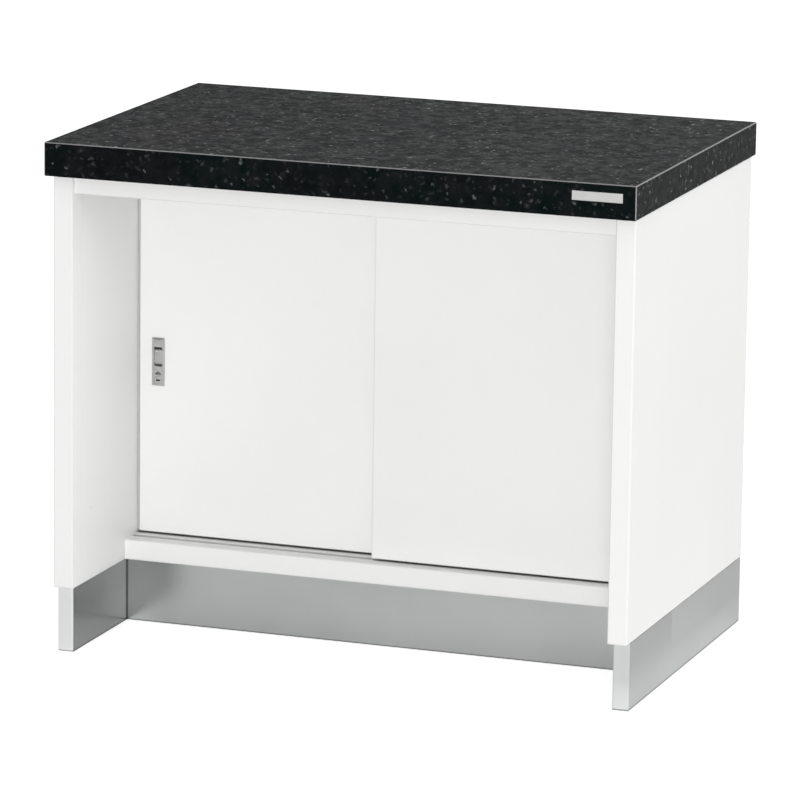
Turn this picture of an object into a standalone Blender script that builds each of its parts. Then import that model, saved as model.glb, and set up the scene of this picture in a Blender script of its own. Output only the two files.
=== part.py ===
# Balance table: a thick stone slab on a sheet steel cabinet with two sliding doors.
# Lengths are in metres and +Z is up. The front faces -Y, and the origin is on the floor,
# under the middle of the slab. Side -1 is the left side and +1 is the right side.

import math

import bmesh
import bpy
from mathutils import Vector

FIT = 0.0003                    # gap between two pieces that touch
OVERRUN = 0.002                 # how far a cutter runs past what it cuts
SHEET = 0.0010                  # steel sheet of the cabinet
BEND = 0.0020                   # outer radius of a fold in the sheet
BEND_STEPS = 2
ROUND_STEPS = 32                # facets of a round piece
HOLE_STEPS = 24                 # facets of a pin and its hole

# the stone slab and what it lies on
TABLE_HEIGHT = 0.770
SLAB_WIDTH = 0.900
SLAB_DEPTH = 0.600
SLAB_THICKNESS = 0.050
SLAB_ARRIS = 0.0014             # polished chamfer along every edge
PAD_THICKNESS = 0.0014          # rubber between the cabinet and the stone
PAD_WIDTH = 0.022
PAD_LENGTH = 0.060
PAD_INSET = 0.030
LABEL_WIDTH = 0.075             # plain plate let into the front of the slab
LABEL_HEIGHT = 0.0135
LABEL_THICKNESS = 0.0008
LABEL_SIDE_INSET = 0.020
LABEL_DROP = 0.0125

# the side panels, each an outer shell closed by a liner
PANEL_THICKNESS = 0.030
PANEL_SIDE_INSET = 0.006        # behind the side of the slab
PANEL_FRONT_INSET = 0.021       # behind the front of the slab
PANEL_BACK_INSET = 0.001
PANEL_LIP = 0.033               # shell folded back along its inner face, front and rear
PANEL_END_LIP = 0.0035          # the same at the top and the bottom
LINER_FLANGE = 0.012

# the rails and the deck under the slab
RAIL_HEIGHT = 0.0265
RAIL_DEPTH = 0.040
RAIL_LIP = 0.015
RAIL_SETBACK = 0.0065           # behind the front edge of the side panels
DECK_FLANGE = 0.012

# the cabinet behind the knee recess
CABINET_SETBACK = 0.221         # from the front of the slab to the front of the sill
SILL_HEIGHT = 0.031
SILL_LIP = 0.012
FRONT_LEDGE = 0.020             # sill in front of the front door
REAR_LEDGE = 0.006              # sill behind the rear door
GROOVE_DEPTH = 0.006
FLOOR_FLANGE = 0.025
BACK_INSET = 0.002              # rear face of the cabinet, in front of the panels' rear edges
BACK_FLANGE = 0.012

# the shelf and its clips
SHELF_HEIGHT = 0.412            # top of the clips' tabs
SHELF_FLANGE = 0.020
SHELF_FRONT_GAP = 0.020         # behind the rear door
SHELF_BACK_GAP = 0.004
CLIP_THICKNESS = 0.0015
CLIP_WIDTH = 0.014
CLIP_HEIGHT = 0.018
CLIP_TAB = 0.012
CLIP_INSET = 0.035              # from the shelf's front and rear edges
PEG_RADIUS = 0.0022
PEG_LENGTH = 0.006
PEG_HOLE_COUNT = 5
PEG_HOLE_PITCH = 0.032

# the doors
DOOR_THICKNESS = 0.024
DOOR_GAP = 0.006                # between the two doors
DOOR_LIFT = 0.0025              # above the sill
DOOR_HEADROOM = 0.003           # under the upper track
DOOR_SIDE_GAP = 0.003
DOOR_OVERLAP = 0.050
DOOR_BACK_FLANGE = 0.004

# the upper track and the guides that run in it
TRACK_HEIGHT = 0.020
TRACK_GROOVE_DEPTH = 0.018
TRACK_EDGE = 0.004
GUIDE_WIDTH = 0.008
GUIDE_LENGTH = 0.030
GUIDE_HEIGHT = 0.012
GUIDE_SIDE_CLEAR = 0.001
GUIDE_INSET = 0.025
STOP_LENGTH = 0.028
STOP_HEIGHT = 0.012
BUMPER_END = 0.002              # short of the top and bottom of its door
BUMPER_SETBACK = 0.001          # behind the front face of its door
BUMPER_DEPTH = 0.008

# the rollers
ROLLER_RADIUS = 0.012
ROLLER_WIDTH = 0.008
ROLLER_EDGE = 0.0008
ROLLER_SIDE_CLEAR = 0.002       # between a roller and the side of its groove
ROLLER_INSET = 0.060
ROLLER_HEADROOM = 0.001
AXLE_RADIUS = 0.002
FRAME_WALL = 0.002
FRAME_TOP = 0.003
FRAME_LENGTH = 0.036

# the recessed pull and the lock in it
PULL_WIDTH = 0.020
PULL_HEIGHT = 0.074
PULL_INSET = 0.021              # from the outer edge of the door
PULL_BOTTOM = 0.361             # above the floor
PULL_PLATE = 0.0012
PULL_EDGE = 0.002               # plate that laps over the door skin
PULL_BODY_DEPTH = 0.013
POCKET_WIDTH = 0.013
POCKET_HEIGHT = 0.028
POCKET_DROP = 0.015             # below the top of the plate
POCKET_DEPTH = 0.010
PULL_STAND_OFF = 0.005          # left between an opened pull and the other door
LOCK_RISE = 0.0085              # lock's axis above the bottom of the plate
LOCK_RIM_DEPTH = 0.0006
LOCK_RIM_WIDTH = 0.0012
PLUG_RADIUS = 0.0058
KEY_SLOT_WIDTH = 0.0060
KEY_SLOT_HEIGHT = 0.0024
KEY_SLOT_DEPTH = 0.008
CAM_RADIUS = 0.0078
CAM_THICKNESS = 0.002
CAM_PIN_RADIUS = 0.0015
CAM_PIN_PLAY = 0.0005
BOLT_THROW = 0.008
BOLT_THICKNESS = 0.003
BOLT_HEIGHT = 0.012
BOLT_TAIL = 0.009               # bolt past the lock's axis
STRIKE_THICKNESS = 0.0012
STRIKE_WIDTH = 0.014
STRIKE_HEIGHT = 0.036
STRIKE_PLAY = 0.0012            # round the bolt

# the metal base
PLINTH_HEIGHT = 0.100
PLINTH_THICKNESS = 0.0245
PLINTH_SIDE_INSET = 0.0005      # behind the outer face of the side panel
PLINTH_FRONT_SETBACK = 0.015    # behind the front edge of the side panel
PLINTH_BACK_INSET = 0.0005
PLINTH_WALL = 0.0015
KICK_SETBACK = 0.023            # behind the front of the sill
KICK_LIP = 0.012
REAR_KICK_INSET = 0.0095        # in front of the plinths' rear ends

# places that follow from the sizes, from the outside in
SLAB_FRONT = -SLAB_DEPTH / 2
SLAB_BACK = SLAB_DEPTH / 2
SLAB_BOTTOM = TABLE_HEIGHT - SLAB_THICKNESS
CARCASS_TOP = SLAB_BOTTOM - PAD_THICKNESS - 2 * FIT
PANEL_OUTER = SLAB_WIDTH / 2 - PANEL_SIDE_INSET
PANEL_INNER = PANEL_OUTER - PANEL_THICKNESS
PANEL_FRONT = SLAB_FRONT + PANEL_FRONT_INSET
PANEL_BACK = SLAB_BACK - PANEL_BACK_INSET
PANEL_MIDDLE = PANEL_OUTER - PANEL_THICKNESS / 2
INSIDE = PANEL_INNER - FIT              # half width of what fits between the panels
RAIL_BOTTOM = CARCASS_TOP - RAIL_HEIGHT
RAIL_FRONT = PANEL_FRONT + RAIL_SETBACK
CABINET_BACK = PANEL_BACK - BACK_INSET
DECK_FRONT = RAIL_FRONT + RAIL_DEPTH + FIT
DECK_BACK = CABINET_BACK - RAIL_DEPTH - FIT
BACK_SHEET = CABINET_BACK - BACK_FLANGE     # inner face of the back panel

SILL_FRONT = SLAB_FRONT + CABINET_SETBACK
SILL_TOP = PLINTH_HEIGHT + SILL_HEIGHT
GROOVE_WIDTH = ROLLER_WIDTH + 2 * ROLLER_SIDE_CLEAR
DOOR_FACES = {+1: SILL_FRONT + FRONT_LEDGE}             # the right door runs in front
DOOR_FACES[-1] = DOOR_FACES[+1] + DOOR_THICKNESS + DOOR_GAP
DOOR_BACK = DOOR_FACES[-1] + DOOR_THICKNESS
SILL_BACK = DOOR_BACK + REAR_LEDGE
DOOR_OUTER = PANEL_INNER - DOOR_SIDE_GAP
TRACK_TOP = CARCASS_TOP - SHEET - FIT
TRACK_BOTTOM = TRACK_TOP - TRACK_HEIGHT
TRACK_END = INSIDE - BEND - FIT
TRACK_GROOVE_WIDTH = GUIDE_WIDTH + 2 * GUIDE_SIDE_CLEAR
DOOR_BOTTOM = SILL_TOP + DOOR_LIFT
DOOR_TOP = TRACK_BOTTOM - DOOR_HEADROOM
DOOR_WIDTH = DOOR_OUTER + DOOR_OVERLAP / 2
DOOR_TRAVEL = DOOR_WIDTH - DOOR_OVERLAP - PULL_INSET - PULL_WIDTH - PULL_STAND_OFF
AXLE_HEIGHT = SILL_TOP - GROOVE_DEPTH + FIT + ROLLER_RADIUS
LOCK_X = DOOR_OUTER - PULL_INSET - PULL_WIDTH / 2
LOCK_HEIGHT = PULL_BOTTOM + LOCK_RISE
CAM_PIN_OFFSET = BOLT_THROW / 2         # across and up from the lock's axis, at both ends
BOLT_BOTTOM = LOCK_HEIGHT + CAM_PIN_OFFSET - BOLT_HEIGHT / 2
BOLT_START = PULL_BODY_DEPTH + FIT + CAM_THICKNESS + FIT    # behind the door's front face
PLINTH_OUTER = PANEL_OUTER - PLINTH_SIDE_INSET
PLINTH_INNER = PLINTH_OUTER - PLINTH_THICKNESS
PLINTH_FRONT = PANEL_FRONT + PLINTH_FRONT_SETBACK
PLINTH_BACK = PANEL_BACK - PLINTH_BACK_INSET
PLINTH_TOP = PLINTH_HEIGHT - FIT
KICK_FRONT = SILL_FRONT + KICK_SETBACK
KICK_END = PLINTH_INNER - FIT
SIDE_NAMES = {-1: "left", +1: "right"}

FINISHES = {                    # colour, roughness, metallic
    "stone": ((0.022, 0.023, 0.024, 1.0), 0.25, 0.0),
    "white_paint": ((0.86, 0.86, 0.85, 1.0), 0.40, 0.0),
    "brushed_metal": ((0.52, 0.54, 0.54, 1.0), 0.35, 1.0),
    "nickel": ((0.62, 0.63, 0.62, 1.0), 0.25, 1.0),
    "zinc_steel": ((0.55, 0.56, 0.58, 1.0), 0.35, 1.0),
    "white_plastic": ((0.80, 0.80, 0.78, 1.0), 0.50, 0.0),
    "black_rubber": ((0.03, 0.03, 0.03, 1.0), 0.80, 0.0),
}


def clear_scene():
    for obj in list(bpy.data.objects):
        bpy.data.objects.remove(obj)


def make_collection(name):
    collection = bpy.data.collections.new(name)
    bpy.context.scene.collection.children.link(collection)
    return collection


def make_materials():
    materials = {}
    for name, (colour, roughness, metallic) in FINISHES.items():
        material = bpy.data.materials.new(name)
        material.use_nodes = True
        shader = material.node_tree.nodes["Principled BSDF"]
        shader.inputs["Base Color"].default_value = colour
        shader.inputs["Roughness"].default_value = roughness
        shader.inputs["Metallic"].default_value = metallic
        material.diffuse_color = colour
        materials[name] = material
    return materials


clear_scene()
PARTS = make_collection("balance_table")
CUTTERS = make_collection("cutters")
MATERIALS = make_materials()


def centre_and_size(low, high):
    low, high = Vector(low), Vector(high)
    return (low + high) / 2, high - low


def ordered(a, b):
    return (a, b) if a < b else (b, a)


def place(name, bm, finish, centre, parent=None):
    """Turn a bmesh into a named part with its origin at the given centre."""
    mesh = bpy.data.meshes.new(name)
    bm.to_mesh(mesh)
    bm.free()
    mesh.materials.append(MATERIALS[finish])
    obj = bpy.data.objects.new(name, mesh)
    PARTS.objects.link(obj)
    obj.parent = parent
    obj.location = Vector(centre) - (parent.location if parent else Vector())
    return obj


def cube_bmesh(size):
    bm = bmesh.new()
    bmesh.ops.create_cube(bm, size=1.0)
    bmesh.ops.scale(bm, vec=size, verts=bm.verts)
    return bm


def block(name, low, high, finish, parent=None):
    centre, size = centre_and_size(low, high)
    return place(name, cube_bmesh(size), finish, centre, parent)


def thicken(obj, wall):
    """Give an open surface a wall that grows inwards from its outer face."""
    solid = obj.modifiers.new("wall", "SOLIDIFY")
    solid.thickness = wall
    solid.offset = -1.0
    solid.use_even_offset = True


def round_edges(obj, radius, steps):
    bevel = obj.modifiers.new("round", "BEVEL")
    bevel.width = radius
    bevel.segments = steps
    bevel.limit_method = "ANGLE"


def remove_faces(bm, directions):
    open_faces = [face for face in bm.faces
                  if any(face.normal.dot(Vector(way)) > 0.5 for way in directions)]
    bmesh.ops.delete(bm, geom=open_faces, context="FACES")


def tray(name, low, high, open_sides, finish, parent=None, wall=SHEET, bend=BEND):
    """A box of folded sheet, open on the given sides."""
    centre, size = centre_and_size(low, high)
    bm = cube_bmesh(size)
    bm.normal_update()
    remove_faces(bm, open_sides)
    obj = place(name, bm, finish, centre, parent)
    if bend:
        round_edges(obj, bend, BEND_STEPS)
    thicken(obj, wall)
    return obj


def folded_strip(name, outline, half_length, outward, finish):
    """Sheet folded along an outline of (Y, Z) points, the same all along X.

    outward is the way that the outer face of the first fold looks.
    """
    bm = bmesh.new()
    verts = [bm.verts.new((-half_length, y, z)) for y, z in outline]
    edges = [bm.edges.new(pair) for pair in zip(verts, verts[1:])]
    swept = bmesh.ops.extrude_edge_only(bm, edges=edges)["geom"]
    moved = [item for item in swept if isinstance(item, bmesh.types.BMVert)]
    bmesh.ops.translate(bm, verts=moved, vec=(2 * half_length, 0, 0))
    bm.normal_update()
    if edges[0].link_faces[0].normal.dot(Vector(outward)) < 0:
        bmesh.ops.reverse_faces(bm, faces=bm.faces)
    obj = place(name, bm, finish, (0, 0, 0))
    round_edges(obj, BEND, BEND_STEPS)
    thicken(obj, SHEET)
    return obj


def turned(name, profile, finish, centre, parent=None):
    """Turn a profile of (radius, height) points about Y, with the heights towards -Y.

    A profile that starts and ends on the axis makes a solid end, and any other one a bore.
    """
    bm = bmesh.new()
    verts = [bm.verts.new((radius, 0, height)) for radius, height in profile]
    for pair in zip(verts, verts[1:]):
        bm.edges.new(pair)
    has_bore = profile[0][0] > 0
    if has_bore:
        bm.edges.new((verts[-1], verts[0]))
    obj = place(name, bm, finish, centre, parent)
    obj.rotation_euler.x = math.radians(90)
    screw = obj.modifiers.new("turn", "SCREW")
    screw.steps = screw.render_steps = ROUND_STEPS
    screw.use_merge_vertices = not has_bore
    screw.merge_threshold = FIT / 10
    return obj


def pin(name, radius, start, end, finish, parent=None):
    """A plain round pin between two points."""
    start, end = Vector(start), Vector(end)
    bm = bmesh.new()
    bmesh.ops.create_cone(bm, cap_ends=True, segments=HOLE_STEPS, radius1=radius,
                          radius2=radius, depth=(end - start).length)
    obj = place(name, bm, finish, (start + end) / 2, parent)
    obj.rotation_euler = (end - start).to_track_quat("Z", "Y").to_euler()
    obj.data.shade_smooth()
    obj.data.set_sharp_from_angle(angle=math.radians(45))
    return obj


def as_tool(obj):
    """Move a shape to the cutters, where it is a guide and not a part."""
    PARTS.objects.unlink(obj)
    CUTTERS.objects.link(obj)
    obj.hide_render = True
    obj.display_type = "WIRE"
    return obj


def combine(obj, tool, operation):
    step = obj.modifiers.new(tool.name, "BOOLEAN")
    step.operation = operation
    step.object = as_tool(tool)


def cut_box(obj, label, low, high):
    combine(obj, block(obj.name + "_" + label, low, high, "zinc_steel"), "DIFFERENCE")


def cut_hole(obj, label, radius, start, end):
    combine(obj, pin(obj.name + "_" + label, radius, start, end, "zinc_steel"), "DIFFERENCE")


def build_slab():
    slab = block("stone_slab", (-SLAB_WIDTH / 2, SLAB_FRONT, SLAB_BOTTOM),
                 (SLAB_WIDTH / 2, SLAB_BACK, TABLE_HEIGHT), "stone")
    round_edges(slab, SLAB_ARRIS, 1)

    right = SLAB_WIDTH / 2 - LABEL_SIDE_INSET
    top = TABLE_HEIGHT - LABEL_DROP
    low = Vector((right - LABEL_WIDTH, SLAB_FRONT, top - LABEL_HEIGHT))
    high = Vector((right, SLAB_FRONT + LABEL_THICKNESS, top))
    block("blank_plate", low, high, "nickel")
    margin = Vector((FIT, FIT, FIT))
    cut_box(slab, "plate_seat", low - margin - Vector((0, OVERRUN, 0)), high + margin)

    for side, side_name in SIDE_NAMES.items():
        for end_name, near in (("front", PANEL_FRONT + PAD_INSET),
                               ("rear", PANEL_BACK - PAD_INSET - PAD_LENGTH)):
            left, right = ordered(side * (PANEL_MIDDLE - PAD_WIDTH / 2),
                                  side * (PANEL_MIDDLE + PAD_WIDTH / 2))
            block("slab_pad_" + side_name + "_" + end_name,
                  (left, near, CARCASS_TOP + FIT),
                  (right, near + PAD_LENGTH, SLAB_BOTTOM - FIT), "black_rubber")


def build_side_shell(side):
    """Outer skin of a side panel, folded round all four edges, with a window on its inner face."""
    left, right = ordered(side * PANEL_INNER, side * PANEL_OUTER)
    centre, size = centre_and_size((left, PANEL_FRONT, PLINTH_HEIGHT),
                                   (right, PANEL_BACK, CARCASS_TOP))
    bm = cube_bmesh(size)
    bm.normal_update()
    inner = [face for face in bm.faces if face.normal.x * side < -0.5]
    bmesh.ops.inset_region(bm, faces=inner, thickness=PANEL_LIP, use_even_offset=True)
    for vert in inner[0].verts:
        vert.co.z = math.copysign(size.z / 2 - PANEL_END_LIP, vert.co.z)
    bmesh.ops.delete(bm, geom=inner, context="FACES")
    shell = place(SIDE_NAMES[side] + "_side_shell", bm, "white_paint", centre)
    round_edges(shell, BEND, BEND_STEPS)
    thicken(shell, SHEET)


def clip_places():
    """Y of the front and rear shelf clips."""
    shelf_front = DOOR_BACK + SHELF_FRONT_GAP
    shelf_back = BACK_SHEET - SHELF_BACK_GAP
    return {"front": shelf_front + CLIP_INSET, "rear": shelf_back - CLIP_INSET}


def build_side_liner(side):
    """Inner sheet of a side panel, flush in the shell's window."""
    inner = side * PANEL_INNER
    left, right = ordered(inner, side * (PANEL_INNER + LINER_FLANGE))
    low = (left, PANEL_FRONT + PANEL_LIP + FIT, PLINTH_HEIGHT + PANEL_END_LIP + FIT)
    high = (right, PANEL_BACK - PANEL_LIP - FIT, CARCASS_TOP - PANEL_END_LIP - FIT)
    liner = tray(SIDE_NAMES[side] + "_side_liner", low, high, [(side, 0, 0)], "white_paint",
                 bend=0)                # sharp folds keep its seam with the shell narrow

    through = side * (PANEL_INNER + SHEET + OVERRUN)
    before = side * (PANEL_INNER - OVERRUN)
    first = SHELF_HEIGHT + CLIP_HEIGHT / 2 - PEG_HOLE_PITCH * (PEG_HOLE_COUNT - 1) / 2
    for end_name, y in clip_places().items():
        for step in range(PEG_HOLE_COUNT):
            z = first + step * PEG_HOLE_PITCH
            cut_hole(liner, "peg_hole_%s_%d" % (end_name, step + 1), PEG_RADIUS + FIT,
                     (before, y, z), (through, y, z))

    bolt_y = DOOR_FACES[side] + BOLT_START
    left, right = ordered(before, through)
    cut_box(liner, "bolt_slot", (left, bolt_y - STRIKE_PLAY, BOLT_BOTTOM - STRIKE_PLAY),
            (right, bolt_y + BOLT_THICKNESS + STRIKE_PLAY, BOLT_BOTTOM + BOLT_HEIGHT + STRIKE_PLAY))


def build_strike(side):
    """Plate on the side liner that takes the lock's bolt."""
    face = PANEL_INNER - FIT
    left, right = ordered(side * (face - STRIKE_THICKNESS), side * face)
    middle_y = DOOR_FACES[side] + BOLT_START + BOLT_THICKNESS / 2
    middle_z = BOLT_BOTTOM + BOLT_HEIGHT / 2
    strike = block(SIDE_NAMES[side] + "_strike",
                   (left, middle_y - STRIKE_WIDTH / 2, middle_z - STRIKE_HEIGHT / 2),
                   (right, middle_y + STRIKE_WIDTH / 2, middle_z + STRIKE_HEIGHT / 2), "zinc_steel")
    half_width = BOLT_THICKNESS / 2 + STRIKE_PLAY
    half_height = BOLT_HEIGHT / 2 + STRIKE_PLAY
    cut_box(strike, "bolt_slot",
            (left - OVERRUN, middle_y - half_width, middle_z - half_height),
            (right + OVERRUN, middle_y + half_width, middle_z + half_height))


def build_bumper(side):
    """Soft strip on the side liner, where the edge of the closed door meets it."""
    left, right = ordered(side * (DOOR_OUTER + FIT), side * (PANEL_INNER - FIT))
    front = DOOR_FACES[side] + BUMPER_SETBACK
    block(SIDE_NAMES[side] + "_door_bumper", (left, front, DOOR_BOTTOM + BUMPER_END),
          (right, front + BUMPER_DEPTH, DOOR_TOP - BUMPER_END), "white_plastic")


def build_rails_and_deck():
    """Two folded rails and the sheet between them, which carry the upper track."""
    ends = {"top_front_rail": (RAIL_FRONT, +1), "top_rear_rail": (CABINET_BACK, -1)}
    for name, (web, inwards) in ends.items():
        outline = [(web + inwards * RAIL_LIP, RAIL_BOTTOM), (web, RAIL_BOTTOM),
                   (web, CARCASS_TOP), (web + inwards * RAIL_DEPTH, CARCASS_TOP)]
        folded_strip(name, outline, INSIDE, (0, 0, -1), "white_paint")
    tray("deck_panel", (-INSIDE, DECK_FRONT, CARCASS_TOP - DECK_FLANGE),
         (INSIDE, DECK_BACK, CARCASS_TOP), [(0, 0, -1)], "white_paint")


def groove_centres():
    """Y of the middle of each door, by side."""
    return {side: face + DOOR_THICKNESS / 2 for side, face in DOOR_FACES.items()}


def build_upper_track():
    track = block("upper_track", (-TRACK_END, DOOR_FACES[+1] - TRACK_EDGE, TRACK_BOTTOM),
                  (TRACK_END, DOOR_BACK + TRACK_EDGE, TRACK_TOP), "white_plastic")
    half = TRACK_GROOVE_WIDTH / 2
    for side, middle in groove_centres().items():
        cut_box(track, SIDE_NAMES[side] + "_groove",
                (-TRACK_END - OVERRUN, middle - half, TRACK_BOTTOM - OVERRUN),
                (TRACK_END + OVERRUN, middle + half, TRACK_BOTTOM + TRACK_GROOVE_DEPTH))
        guide_end = -side * (DOOR_OVERLAP / 2 - GUIDE_INSET + DOOR_TRAVEL)
        left, right = ordered(guide_end - side * FIT, guide_end - side * (FIT + STOP_LENGTH))
        roof = TRACK_BOTTOM + TRACK_GROOVE_DEPTH - FIT
        block(SIDE_NAMES[side] + "_door_stop", (left, middle - half + FIT, roof - STOP_HEIGHT),
              (right, middle + half - FIT, roof), "black_rubber")


def build_sill():
    """Front rail of the cabinet, folded from one sheet with a groove for each door's rollers."""
    groove_floor = SILL_TOP - GROOVE_DEPTH
    outline = [(SILL_BACK, PLINTH_HEIGHT), (SILL_BACK, SILL_TOP)]
    for side in SIDE_NAMES:
        middle = groove_centres()[side]
        back, front = middle + GROOVE_WIDTH / 2, middle - GROOVE_WIDTH / 2
        outline += [(back, SILL_TOP), (back, groove_floor), (front, groove_floor), (front, SILL_TOP)]
    outline += [(SILL_FRONT, SILL_TOP), (SILL_FRONT, PLINTH_HEIGHT),
                (SILL_FRONT + SILL_LIP, PLINTH_HEIGHT)]
    folded_strip("sill_rail", outline, INSIDE, (0, 1, 0), "white_paint")


def build_cabinet_sheets():
    tray("cabinet_floor", (-INSIDE, SILL_BACK + FIT, SILL_TOP - FLOOR_FLANGE),
         (INSIDE, BACK_SHEET - FIT, SILL_TOP), [(0, 0, -1)], "white_paint")
    tray("back_panel", (-INSIDE, BACK_SHEET, PLINTH_HEIGHT),
         (INSIDE, CABINET_BACK, RAIL_BOTTOM - FIT), [(0, 1, 0)], "white_paint")


def build_shelf():
    half = INSIDE - CLIP_THICKNESS - FIT
    tray("shelf", (-half, DOOR_BACK + SHELF_FRONT_GAP, SHELF_HEIGHT + FIT),
         (half, BACK_SHEET - SHELF_BACK_GAP, SHELF_HEIGHT + FIT + SHELF_FLANGE),
         [(0, 0, -1)], "white_paint")
    for side, side_name in SIDE_NAMES.items():
        for end_name, y in clip_places().items():
            build_shelf_clip("shelf_clip_" + side_name + "_" + end_name, side, y)


def build_shelf_clip(name, side, y):
    """Bent steel clip: a plate on the liner, a tab under the shelf and a peg in the liner."""
    near, far = y - CLIP_WIDTH / 2, y + CLIP_WIDTH / 2
    floor = SHELF_HEIGHT - CLIP_THICKNESS
    left, right = ordered(side * INSIDE, side * (INSIDE - CLIP_THICKNESS))
    clip = block(name, (left, near, floor), (right, far, SHELF_HEIGHT + CLIP_HEIGHT), "zinc_steel")
    left, right = ordered(side * INSIDE, side * (INSIDE - CLIP_THICKNESS - CLIP_TAB))
    combine(clip, block(name + "_tab", (left, near, floor), (right, far, SHELF_HEIGHT), "zinc_steel"),
            "UNION")
    z = SHELF_HEIGHT + CLIP_HEIGHT / 2
    inside = side * (INSIDE - CLIP_THICKNESS / 2)
    combine(clip, pin(name + "_peg", PEG_RADIUS, (inside, y, z),
                      (side * (INSIDE + PEG_LENGTH), y, z), "zinc_steel"), "UNION")


def build_base():
    """Two hollow metal plinths under the side panels, and the kick plates between them."""
    for side, side_name in SIDE_NAMES.items():
        left, right = ordered(side * PLINTH_INNER, side * PLINTH_OUTER)
        tray(side_name + "_plinth", (left, PLINTH_FRONT, 0), (right, PLINTH_BACK, PLINTH_TOP),
             [(0, 0, -1), (0, 0, 1)], "brushed_metal", wall=PLINTH_WALL)
    plates = {"kick_plate": (KICK_FRONT, +1), "rear_kick_plate": (PLINTH_BACK - REAR_KICK_INSET, -1)}
    for name, (web, inwards) in plates.items():
        outline = [(web + inwards * KICK_LIP, 0), (web, 0), (web, PLINTH_TOP),
                   (web + inwards * KICK_LIP, PLINTH_TOP)]
        folded_strip(name, outline, KICK_END, (0, 0, -1), "brushed_metal")


def joint_empty(name, location):
    empty = bpy.data.objects.new(name, None)
    PARTS.objects.link(empty)
    empty.location = location
    return empty


def build_roller(name, x, door_middle, axis):
    """Roller on an axle in a small fork, and the box that the door's bottom edge leaves for it."""
    half = ROLLER_WIDTH / 2
    flat = half - ROLLER_EDGE
    bore = AXLE_RADIUS + FIT
    rim = ROLLER_RADIUS - ROLLER_EDGE
    profile = [(bore, half), (rim, half), (ROLLER_RADIUS, flat), (ROLLER_RADIUS, -flat),
               (rim, -half), (bore, -half)]
    middle = Vector((x, door_middle, AXLE_HEIGHT))
    turned(name, profile, "white_plastic", middle, axis)

    slot = half + FIT
    cheek = slot + FRAME_WALL
    roof = AXLE_HEIGHT + ROLLER_RADIUS + ROLLER_HEADROOM
    frame = block(name + "_frame",
                  (x - FRAME_LENGTH / 2, door_middle - cheek, DOOR_BOTTOM + SHEET + FIT),
                  (x + FRAME_LENGTH / 2, door_middle + cheek, roof + FRAME_TOP), "zinc_steel", axis)
    cut_box(frame, "slot", (x - FRAME_LENGTH / 2 - OVERRUN, door_middle - slot, DOOR_BOTTOM),
            (x + FRAME_LENGTH / 2 + OVERRUN, door_middle + slot, roof))
    ends = [middle - Vector((0, cheek, 0)), middle + Vector((0, cheek, 0))]
    past = Vector((0, OVERRUN, 0))
    cut_hole(frame, "axle_hole", AXLE_RADIUS + FIT, ends[0] - past, ends[1] + past)
    pin(name + "_axle", AXLE_RADIUS, ends[0], ends[1], "zinc_steel", axis)


def build_pull(side, face, axis):
    """Recessed pull: a plate on the door skin with a finger pocket and the lock's bore."""
    outer = side * (DOOR_OUTER - PULL_INSET)
    inner = side * (DOOR_OUTER - PULL_INSET - PULL_WIDTH)
    left, right = ordered(outer, inner)
    top = PULL_BOTTOM + PULL_HEIGHT
    plate_back = face - FIT
    pull = block(SIDE_NAMES[side] + "_pull", (left, plate_back - PULL_PLATE, PULL_BOTTOM),
                 (right, plate_back, top), "nickel", axis)
    round_edges(pull, PULL_PLATE / 3, 1)
    combine(pull, block(pull.name + "_body",
                        (left + PULL_EDGE, plate_back - PULL_PLATE / 2, PULL_BOTTOM + PULL_EDGE),
                        (right - PULL_EDGE, face + PULL_BODY_DEPTH, top - PULL_EDGE), "nickel"),
            "UNION")
    middle = (left + right) / 2
    pocket_top = top - POCKET_DROP
    cut_box(pull, "pocket",
            (middle - POCKET_WIDTH / 2, face - PULL_PLATE - OVERRUN, pocket_top - POCKET_HEIGHT),
            (middle + POCKET_WIDTH / 2, face + POCKET_DEPTH, pocket_top))
    centre = Vector((middle, 0, LOCK_HEIGHT))
    front = Vector((0, plate_back - PULL_PLATE, 0))
    back = Vector((0, face + PULL_BODY_DEPTH + OVERRUN, 0))
    past = Vector((0, OVERRUN, 0))
    cut_hole(pull, "plug_bore", PLUG_RADIUS + FIT, centre + front - past, centre + back)
    cut_hole(pull, "lock_rim", PLUG_RADIUS + FIT + LOCK_RIM_WIDTH, centre + front - past,
             centre + front + Vector((0, LOCK_RIM_DEPTH, 0)))
    return pull


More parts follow.
